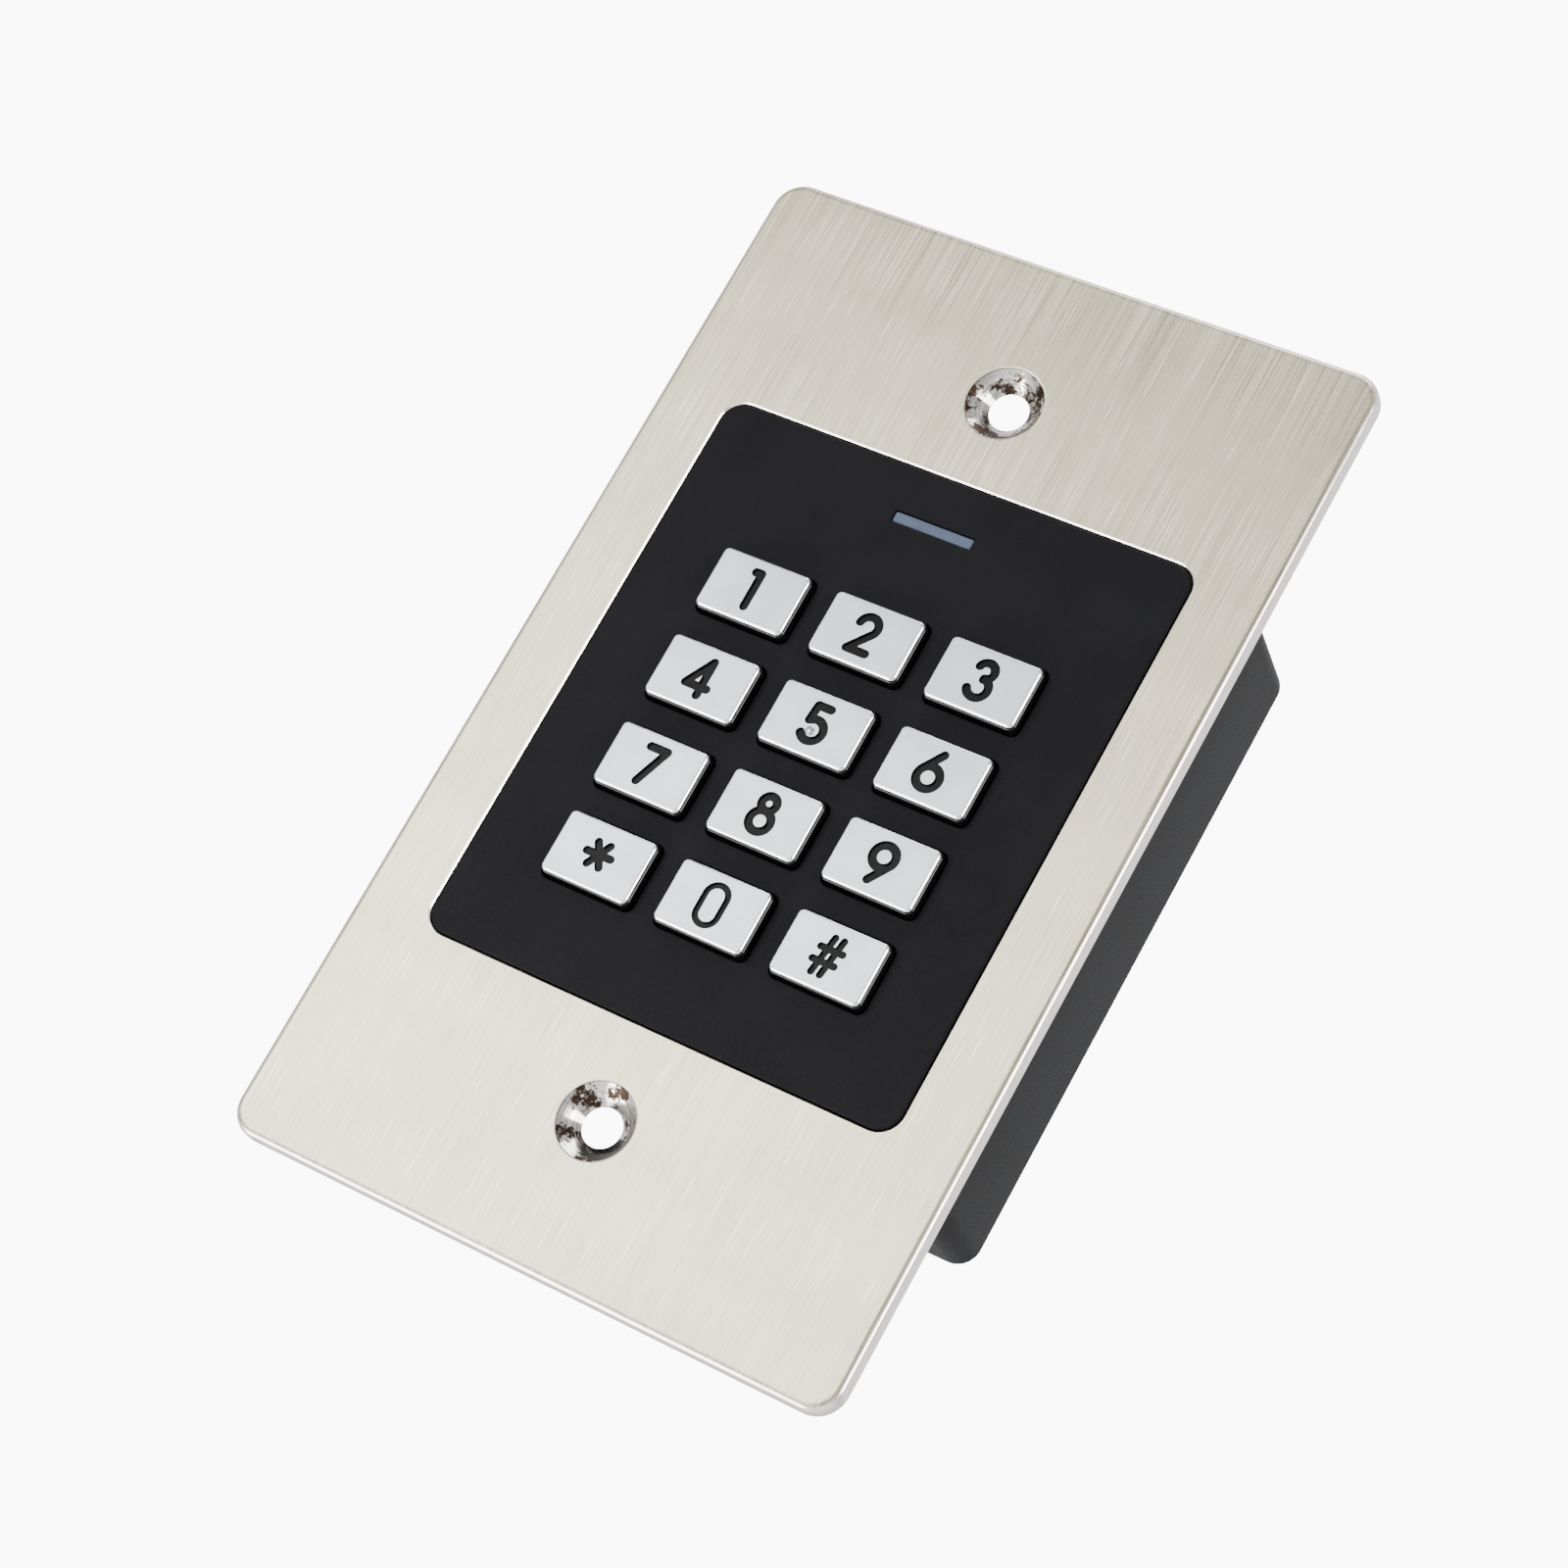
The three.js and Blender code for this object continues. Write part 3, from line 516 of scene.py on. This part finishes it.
def face_plate():
    form = Form()
    brushed, polished, machined = 0, 1, 2
    edge = [
        form.loop(plate_outline(inset), FRONT + depth)
        for inset, depth in quarter_round(PLATE_EDGE_R, 8)
    ]
    back = form.loop(plate_outline(PLATE_BACK_EDGE), WALL)
    front = form.loop(plate_outline(PLATE_EDGE_R + SUPPORT), FRONT)
    brushed_rings = 4
    form.wall([front, *edge[:brushed_rings]], brushed)
    foot = form.loop(plate_outline(0), WALL - PLATE_BACK_EDGE)
    form.wall([*edge[brushed_rings - 1:], foot, back], polished)

    window = form.loop(window_outline(HOLE_LIP + SUPPORT), FRONT)
    window_lip = form.loop(window_outline(HOLE_LIP), FRONT)
    form.wall([window, window_lip], brushed)
    window_back = form.loop(window_outline(0), WALL)
    window_wall = form.loop(window_outline(0), FRONT + HOLE_LIP)
    form.wall([window_lip, window_wall, window_back], polished)

    rims, bores = [], []
    for side in (-1, 1):
        z = side * SCREW_SPACING / 2
        sink_end = FRONT + SCREW_HEAD_R - SCREW_BORE_R
        rims.append(form.ring(SCREW_HEAD_R + 2 * SUPPORT, 0, z, FRONT, 64))
        rim = form.ring(SCREW_HEAD_R + SUPPORT / 2, 0, z, FRONT, 64)
        form.wall([rims[-1], rim], brushed)
        bores.append(form.ring(SCREW_BORE_R, 0, z, WALL, 64))
        sink = form.ring(SCREW_HEAD_R - SUPPORT / 2, 0, z, FRONT + SUPPORT / 2, 64)
        sink_foot = form.ring(SCREW_BORE_R, 0, z, sink_end, 64)
        form.wall([rim, sink, sink_foot, bores[-1]], machined)
    form.flat([front, window, *rims], brushed)
    form.flat([back, window_back, *bores], brushed)
    plate = crisp(form.make("plate_shell", STEEL, EDGE, SINK))
    return place(plate, "face_plate")


# ---------- Panel ----------

def panel_outline(inset):
    w, h = PANEL_W - 2 * inset, PANEL_H - 2 * inset
    return rounded(w, h, PANEL_R - inset, 0, PANEL_Z, 12)


def keypad_panel():
    form = Form()
    front = form.loop(panel_outline(PANEL_EDGE_R + SUPPORT), FRONT)
    edge = [
        form.loop(panel_outline(inset), FRONT + depth)
        for inset, depth in quarter_round(PANEL_EDGE_R, 4)
    ]
    root = form.loop(panel_outline(0), FLANGE_FRONT)
    form.wall([front, *edge, root])
    flange = rounded(HOUSING_W, HOUSING_H, HOUSING_R, 0, PANEL_Z, 10)
    flange_front, flange_rear = form.loop(flange, FLANGE_FRONT), form.loop(flange, FLANGE_REAR)
    form.flat([flange_front, root])
    form.wall([flange_front, flange_rear])
    cavity = panel_outline(PANEL_WALL)
    mouth, ceiling = form.loop(cavity, FLANGE_REAR), form.loop(cavity, SKIN_REAR)
    form.flat([flange_rear, mouth])
    form.wall([mouth, ceiling])

    front_holes, rear_holes = [], []

    def hole(outline):
        """Cuts a hole whose outline is a function of how much it is grown."""
        lip = 0.1
        rim = form.loop(outline(lip + SUPPORT), FRONT)
        inner = form.loop(outline(0), SKIN_REAR)
        form.wall([rim, form.loop(outline(lip), FRONT), form.loop(outline(0), FRONT + lip), inner])
        front_holes.append(rim)
        rear_holes.append(inner)

    for name in KEY_NAMES:
        x, z, w, h, _, _ = span(f"key_cap_{name}")
        w, h = w + 2 * (SKIRT + KEY_GAP), h + 2 * (SKIRT + KEY_GAP)
        hole(lambda grow: rounded(w + 2 * grow, h + 2 * grow, CAP_R + KEY_GAP + grow, x, z, 5))
    light_x, light_z, *_ = span("led_light_pipe")
    w, h = LIGHT_W + 2 * LIGHT_GAP, LIGHT_H + 2 * LIGHT_GAP
    hole(lambda grow: rounded(w + grow, h + grow, LIGHT_R + grow / 2, light_x, light_z, 3))
    form.flat([front, *front_holes])
    form.flat([ceiling, *rear_holes])
    bore = SCREW_SHANK_HOLE_R
    for number in SCREW_NUMBERS:
        x, z, *_ = span(f"housing_screw_{number}")
        form.turned(
            [(BOSS_R, FLANGE_REAR), (BOSS_R, BOSS_END), (bore, BOSS_END), (bore, FLANGE_REAR)],
            x, z, closed=True)
    return place(crisp(form.make("panel_shell", PANEL)), "keypad_bezel")


def light_bar():
    x, z, w, h, front, rear = span("led_light_pipe")
    flange_end = SKIN_REAR + LIGHT_FLANGE_T
    form = Form()

    def bar(inset, y):
        w, h = LIGHT_W - 2 * inset, LIGHT_H - 2 * inset
        return form.loop(rounded(w, h, LIGHT_R - inset, x, z, 3), y)

    face = bar(LIGHT_EDGE, front)
    tip = bar(0, front + LIGHT_EDGE)
    root = bar(0, SKIN_REAR)
    form.wall([face, tip, root])
    form.flat([face])
    flange = rounded(w, h, LIGHT_FLANGE_R, x, z, 3)
    flange_front, flange_rear = form.loop(flange, SKIN_REAR), form.loop(flange, flange_end)
    form.flat([flange_front, root])
    form.wall([flange_front, flange_rear])
    foot, end = bar(0, flange_end), bar(0, rear)
    form.flat([flange_rear, foot])
    form.wall([foot, end])
    form.flat([end])
    return place(crisp(form.make("light_bar", LIGHT)), "led_light_pipe")


# ---------- Keys ----------

def star_arms(x, z, length):
    return [arc(x, z, length, angle, angle + 180, 1) for angle in (0, 60, 120)]


LEGENDS = {
    "1": [[(-0.6, 1.9), (0.05, 1.9)], [(0.05, 1.9), (0.05, -1.9)]],
    "2": [arc(-0.15, 0.9, 1.05, 170, -35) + [(-1.2, -1.9)], [(-1.2, -1.9), (0.95, -1.9)]],
    "3": [arc(-0.1, 1.05, 0.9, 160, -80), arc(-0.1, -0.8, 1.1, 80, -160)],
    "4": [
        [(0.45, 1.9), (-1.35, -1)],
        [(-1.35, -1), (1.1, -1)],
        [(0.45, 1.9), (0.45, -1.9)],
    ],
    "5": [
        [(-0.6, 1.9), (0.85, 1.9)],
        [(-0.6, 1.9), (-0.75, 0.2)],
        [(-0.75, 0.2)] + arc(0.05, -0.72, 1.18, 100, -150),
    ],
    "6": [arc(-0.05, -0.72, 1.2, 0, 360, 40), [(-1.08, -0.1), (0.4, 1.95)]],
    "7": [[(-1, 1.9), (0.95, 1.9)], [(0.95, 1.9), (-0.6, -1.9)]],
    "8": [arc(0, 1.15, 0.8, 0, 360, 36), arc(0, -0.8, 1.14, 0, 360, 40)],
    "9": [arc(0.05, 0.72, 1.2, 0, 360, 40), [(1.08, 0.1), (-0.4, -1.95)]],
    "star": star_arms(0, 0.1, 1.4),
    "0": [arc(0, 0.95, 1.2, 0, 180) + arc(0, -0.95, 1.2, 180, 360) + [(1.2, 0.95)]],
    "hash": [
        [(-0.85, -2), (-0.25, 1.9)],
        [(0.15, -2), (0.75, 1.9)],
        [(-1.2, 0.65), (1.25, 0.65)],
        [(-1.4, -0.75), (1.05, -0.75)],
    ],
}
THIN_STROKES = {"0": 0.68, "hash": 0.76, "star": 0.88}


def stroke_outlines(line, width):
    """The outline of one stroke with round ends, or the two outlines of a closed one."""
    points = [Vector(p) for p in line]
    closed = len(points) > 3 and (points[0] - points[-1]).length < 1e-6
    if closed:
        points = points[:-1]
    count = len(points)

    def side(i, sign):
        before = points[i] - points[i - 1] if closed or i > 0 else None
        after = points[(i + 1) % count] - points[i] if closed or i < count - 1 else None
        before = (before or after).normalized()
        after = (after or before).normalized()
        along = (before + after).normalized()
        spread = sign * width / 2 / along.dot(before)
        return points[i] + Vector((-along.y, along.x)) * spread

    def cap(i, along):
        heading = math.degrees(math.atan2(along.y, along.x))
        return arc(*points[i], width / 2, heading - 90, heading + 90, 10)[1:-1]

    right = [tuple(side(i, -1)) for i in range(count)]
    left = [tuple(side(i, 1)) for i in range(count)]
    if closed:
        return [right, left]
    end_cap = cap(count - 1, points[-1] - points[-2])
    start_cap = cap(0, points[0] - points[1])
    return [right + end_cap + left[::-1] + start_cap]


def legend_cutter(name, x, z, front):
    """A solid that cuts one key's legend, joined from its strokes."""
    width = THIN_STROKES.get(name, LEGEND_STROKE)
    whole = None
    for line in LEGENDS[name]:
        form = Form()
        outlines = [
            [(x + px, z + pz) for px, pz in outline] for outline in stroke_outlines(line, width)
        ]
        tops = [form.loop(outline, front - 1) for outline in outlines]
        floors = [form.loop(outline, front + LEGEND_DEPTH) for outline in outlines]
        for top, floor in zip(tops, floors):
            form.wall([top, floor])
        form.flat(tops)
        form.flat(floors)
        stroke = form.make("stroke", LEGEND_BLACK)
        if whole is None:
            whole = stroke
            continue
        join(whole, stroke)
    return whole


def key_cap(name):
    x, z, w, h, _, rear = span(f"key_cap_{name}")
    front = FRONT - CAP_TOP  # the node of the 5 key starts at its raised dot
    form = Form()
    satin, chrome = 0, 1

    def ring(inset, y):
        return form.loop(rounded(w - 2 * inset, h - 2 * inset, CAP_R - inset, x, z, 8), y)

    face = ring(CAP_BEVEL + 0.05, front)
    rim = ring(CAP_BEVEL, front)
    form.wall([face, rim], satin)
    chamfer = [
        ring(0.8 * CAP_BEVEL, front + 0.1 * CAP_BEVEL),
        ring(0.12 * CAP_BEVEL, front + 0.78 * CAP_BEVEL),
        ring(0, front + CAP_BEVEL + 0.03),
    ]
    foot = ring(0, rear)
    form.wall([rim, *chamfer, foot], chrome)
    form.flat([face], satin)
    form.flat([foot], satin)
    cap = form.make(f"cap_{name}", SILVER, CHROME)
    carve(cap, legend_cutter(name, x, z, front))
    if name == "5":
        add_tactile_dot(cap, x + DOT_PLACE[0], z + DOT_PLACE[1], front)
    return place(crisp(cap), f"key_cap_{name}", f"key_{name}")


def add_tactile_dot(cap, x, z, front):
    """A low dome on the 5 key, which a finger finds in the dark."""
    form = Form()
    steps = 8
    angles = [math.pi / 2 * i / steps for i in range(1, steps + 1)]
    crown = [(DOT_R * math.sin(a), front - DOT_RISE * math.cos(a)) for a in angles]
    form.turned([*crown, (DOT_R, front + LEGEND_DEPTH)], x, z, steps=24)
    join(cap, form.make("dot", SILVER))


def key_carrier(name):
    x, z, w, h, front, rear = span(f"key_body_{name}")
    _, _, cap_w, cap_h, _, _ = span(f"key_cap_{name}")
    flange_rear = SKIN_REAR + KEY_FLANGE_T
    form = Form()

    def body(inset, y):
        grow = SKIRT - inset
        return form.loop(rounded(cap_w + 2 * grow, cap_h + 2 * grow, CAP_R + grow, x, z, 8), y)

    top = body(CARRIER_EDGE, front)
    root = body(0, SKIN_REAR)
    form.wall([top, body(0.25 * CARRIER_EDGE, front + 0.75 * CARRIER_EDGE), root])
    form.flat([top])
    flange = rounded(w, h, CAP_R, x, z, 4)
    flange_front, flange_back = form.loop(flange, SKIN_REAR), form.loop(flange, flange_rear)
    form.flat([flange_front, root])
    form.wall([flange_front, flange_back])
    stem = form.ring(STEM_R, x, z, flange_rear, 24)
    stem_end = form.ring(STEM_R, x, z, rear, 24)
    form.flat([flange_back, stem])
    form.wall([stem, stem_end])
    form.flat([stem_end])
    carrier = crisp(form.make(f"carrier_{name}", KEY_BLACK))
    return place(carrier, f"key_body_{name}", f"key_{name}")


def key_dome(name):
    """The rubber cone under a key, at its rest height; the real cone shortens as the key goes
    down.
    """
    x, z, w, _, front, rear = span(f"dome_{name}")
    base = w / 2
    form = Form()
    form.turned([
        (DOME_HOLE_R, front),
        (DOME_TOP_R - 0.15, front),
        (DOME_TOP_R, front + 0.12),
        (base - 0.1, rear - 0.35),
        (base, rear),
        (base - DOME_WALL, rear),
        (DOME_TOP_R - DOME_WALL, front + DOME_WALL),
        (DOME_HOLE_R, front + DOME_WALL),
    ], x, z, closed=True)
    dome = crisp(form.make(f"boot_{name}", bpy.data.materials["silicone"]))
    place(dome, f"dome_{name}")
    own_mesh(dome)


# ---------- Housing, grommet and screws ----------

def rear_housing():
    form = Form()

    def outline(inset, y):
        w, h = HOUSING_W - 2 * inset, HOUSING_H - 2 * inset
        return form.loop(rounded(w, h, HOUSING_R - inset, 0, PANEL_Z, 10), y)

    inner_face = HOUSING_REAR - HOUSING_FLOOR
    rim = outline(0, FLANGE_REAR)
    edge = [
        outline(inset, HOUSING_REAR - depth)
        for inset, depth in quarter_round(HOUSING_EDGE_R, 5)
    ]
    back = outline(HOUSING_EDGE_R + SUPPORT, HOUSING_REAR)
    form.wall([rim, *edge[::-1], back])
    mouth, bottom = outline(HOUSING_WALL, FLANGE_REAR), outline(HOUSING_WALL, inner_face)
    form.flat([rim, mouth])
    form.wall([mouth, bottom])

    back_holes, floor_holes = [], []
    outlet_x, outlet_z, *_ = span("cable_grommet")
    sight_x, sight_z, *_ = span("tamper_sensor")
    for r, x, z in ((OUTLET_HOLE_R, outlet_x, outlet_z), (SIGHT_R, sight_x, sight_z)):
        back_holes.append(form.ring(r + HOLE_LIP, x, z, HOUSING_REAR))
        floor_holes.append(form.ring(r, x, z, inner_face))
        lip = form.ring(r, x, z, HOUSING_REAR - HOLE_LIP)
        form.wall([back_holes[-1], lip, floor_holes[-1]])
    for number in SCREW_NUMBERS:
        x, z, _, _, _, head_rear = span(f"housing_screw_{number}")
        seat = head_rear - SCREW_HEAD_T
        back_holes.append(form.ring(SCREW_HEAD_HOLE_R + HOLE_LIP, x, z, HOUSING_REAR))
        floor_holes.append(form.ring(TOWER_R, x, z, inner_face))
        steps = [
            (SCREW_HEAD_HOLE_R, HOUSING_REAR - HOLE_LIP),
            (SCREW_HEAD_HOLE_R, seat),
            (SCREW_SHANK_HOLE_R, seat),
            (SCREW_SHANK_HOLE_R, BOSS_END),
            (TOWER_R, BOSS_END),
        ]
        well = [form.ring(r, x, z, y) for r, y in steps]
        form.wall([back_holes[-1], *well, floor_holes[-1]])

    def recess(inset, y):
        w, h = RECESS_W - 2 * inset, RECESS_H - 2 * inset
        return form.loop(rounded(w, h, RECESS_R - inset, 0, RECESS_Z, 6), y)

    back_holes.append(recess(0, HOUSING_REAR))
    recess_face = recess(RECESS_SLOPE, HOUSING_REAR - RECESS_DEPTH)
    form.wall([back_holes[-1], recess_face])
    form.flat([recess_face])
    form.flat([back, *back_holes])
    form.flat([bottom, *floor_holes])
    return place(crisp(form.make("housing_shell", HOUSING)), "rear_housing")


def cable_grommet():
    x, z, w, _, front, rear = span("cable_grommet")
    lip, neck, bore = w / 2, OUTLET_HOLE_R - GROMMET_GAP, GROMMET_BORE_R
    inner_face = HOUSING_REAR - HOUSING_FLOOR
    crown_r = 0.25
    crown = arc(lip - crown_r, HOUSING_REAR + 0.3, crown_r, 0, 90, 3)
    form = Form()
    form.turned([
        (bore, front),
        (lip - 0.3, front),
        (lip, front + 0.3),
        (lip, inner_face),
        (neck, inner_face),
        (neck, HOUSING_REAR),
        (lip, HOUSING_REAR),
        *crown,
        (neck - 0.2, rear - 0.12),
        (neck - 0.5, rear),
        (bore + 0.4, rear),
        (bore + 0.1, rear - 0.12),
        (bore, rear - 0.4),
    ], x, z, steps=48, closed=True)
    return place(crisp(form.make("lead_grommet", RUBBER), 40), "cable_grommet")


def housing_screw(number):
    x, z, w, _, front, rear = span(f"housing_screw_{number}")
    head_r = w / 2
    root_r = SCREW_SHANK_R - THREAD_DEPTH
    seat = rear - SCREW_HEAD_T
    thread = []
    for turn in range(int((seat - front - SCREW_POINT_L) / THREAD_PITCH)):
        y = front + SCREW_POINT_L + turn * THREAD_PITCH
        thread += [(root_r, y), (SCREW_SHANK_R, y + THREAD_PITCH / 2)]
    form = Form()
    form.turned([
        (0.25, front),
        (SCREW_SHANK_R - 0.25, front + 0.9),
        *thread,
        (root_r, seat),
        (head_r, seat),
        (head_r, seat + 0.9),
        (head_r - 0.15, seat + 1.25),
        (head_r - 0.6, rear - 0.08),
        (head_r - 1.1, rear),
    ], x, z, steps=24)
    screw = form.make(f"screw_{number}", ZINC)
    for slot_w, slot_h in ((SLOT_L, SLOT_W), (SLOT_W, SLOT_L)):
        slot = Form()
        slot.prism(rounded(slot_w, slot_h, 0.05, x, z, 2), rear - SLOT_DEPTH, rear + 1)
        carve(screw, slot.make("slot", ZINC))
    place(crisp(screw), f"housing_screw_{number}")


def finish_cad_node(node, material):
    """Gives a CAD node its material; its shape and place stay."""
    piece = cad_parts[node]
    if not piece.material_slots:
        piece.data.materials.append(None)
    for slot in piece.material_slots:
        slot.link = "OBJECT"
        slot.material = material


# ---------- Camera, light and floor ----------

CAMERA_PLACE = (161.9, -338.1, -101.8)
CAMERA_TARGET = (-0.36, FRONT, -3.83)
CAMERA_ROLL = 29.66
CAMERA_LENS = 91.18
SENSOR_WIDTH = 36
FLOOR_Z = -500
FLOOR_REACH = 9000
ROOM_IN_FRONT = 0.5  # how bright the world is in front of the plate
ROOM_BEHIND = 1.5
BACKDROP = 10  # how bright the world looks behind the reader; it lights it less


def camera():
    data = bpy.data.cameras.new("camera")
    data.lens = CAMERA_LENS
    data.sensor_width = SENSOR_WIDTH
    data.clip_start = 0.01
    spot = Vector(CAMERA_PLACE) * MM
    aim = Vector(CAMERA_TARGET) * MM - spot
    turn = aim.to_track_quat("-Z", "Y").to_matrix().to_4x4()
    roll = Matrix.Rotation(math.radians(CAMERA_ROLL), 4, "Z")
    eye = bpy.data.objects.new("camera", data)
    eye.matrix_world = Matrix.Translation(spot) @ turn @ roll
    bpy.context.scene.collection.objects.link(eye)
    bpy.context.scene.camera = eye


def softbox(name, spot, size, power, color):
    """A square light that faces the middle of the plate; spot and size are in metres."""
    data = bpy.data.lights.new(name, "AREA")
    data.shape = "SQUARE"
    data.size = size
    data.energy = power
    data.color = color
    lamp = bpy.data.objects.new(name, data)
    lamp.location = spot
    lamp.rotation_euler = (-Vector(spot)).to_track_quat("-Z", "Y").to_euler()
    lamp.visible_camera = False
    bpy.context.scene.collection.objects.link(lamp)


def studio():
    """A white room, dimmer in front of the plate than behind it, with softboxes."""
    world = bpy.data.worlds.new("studio")
    world.use_nodes = True
    bpy.context.scene.world = world
    nodes, links = world.node_tree.nodes, world.node_tree.links
    direction = nodes.new("ShaderNodeTexCoord").outputs["Generated"]
    split = nodes.new("ShaderNodeSeparateXYZ")
    links.new(direction, split.inputs[0])
    ramp = nodes.new("ShaderNodeMapRange")
    ramp.inputs["From Min"].default_value = -0.9
    ramp.inputs["From Max"].default_value = 0.3
    ramp.inputs["To Min"].default_value = ROOM_IN_FRONT
    ramp.inputs["To Max"].default_value = ROOM_BEHIND
    links.new(split.outputs["Y"], ramp.inputs["Value"])
    seen = nodes.new("ShaderNodeMix")
    links.new(nodes.new("ShaderNodeLightPath").outputs["Is Camera Ray"], seen.inputs["Factor"])
    links.new(ramp.outputs["Result"], seen.inputs["A"])
    seen.inputs["B"].default_value = BACKDROP
    links.new(seen.outputs["Result"], nodes["Background"].inputs["Strength"])
    nodes["Background"].inputs["Color"].default_value = (1, 1, 1, 1)
    softbox("key_light", (-0.4, -0.75, 0.03), 0.5, 6, (1, 0.985, 0.96))
    softbox("side_light", (0.8, -0.38, 0.18), 0.4, 7, (1, 0.97, 0.95))
    softbox("top_light", (-0.15, -0.3, 0.9), 0.5, 5, (0.97, 0.985, 1))
    softbox("low_light", (-0.21, -0.14, -0.42), 0.3, 2.6, (1, 0.98, 0.96))


def floor():
    form = Form()
    corners = [(-1, -1), (1, -1), (1, 1), (-1, 1)]
    reach, height = FLOOR_REACH * MM, FLOOR_Z * MM
    form.bm.faces.new([form.bm.verts.new((sx * reach, sy * reach, height)) for sx, sy in corners])
    look = Shader("floor_pale", (0.86, 0.86, 0.85), 0.6)
    tone = look.noise((300, 300, 300), 1)
    look.link(look.ramp(tone, [(0.3, 0.84), (0.7, 0.88)]), "Base Color")
    form.make("floor", look.material)


camera()
studio()
floor()
face_plate()
keypad_panel()
light_bar()
for key_name in KEY_NAMES:
    key_cap(key_name)
    key_carrier(key_name)
    key_dome(key_name)
rear_housing()
cable_grommet()
for screw_number in SCREW_NUMBERS:
    housing_screw(screw_number)
for cad_node, finish in CARRIED_OVER.items():
    finish_cad_node(cad_node, finish)
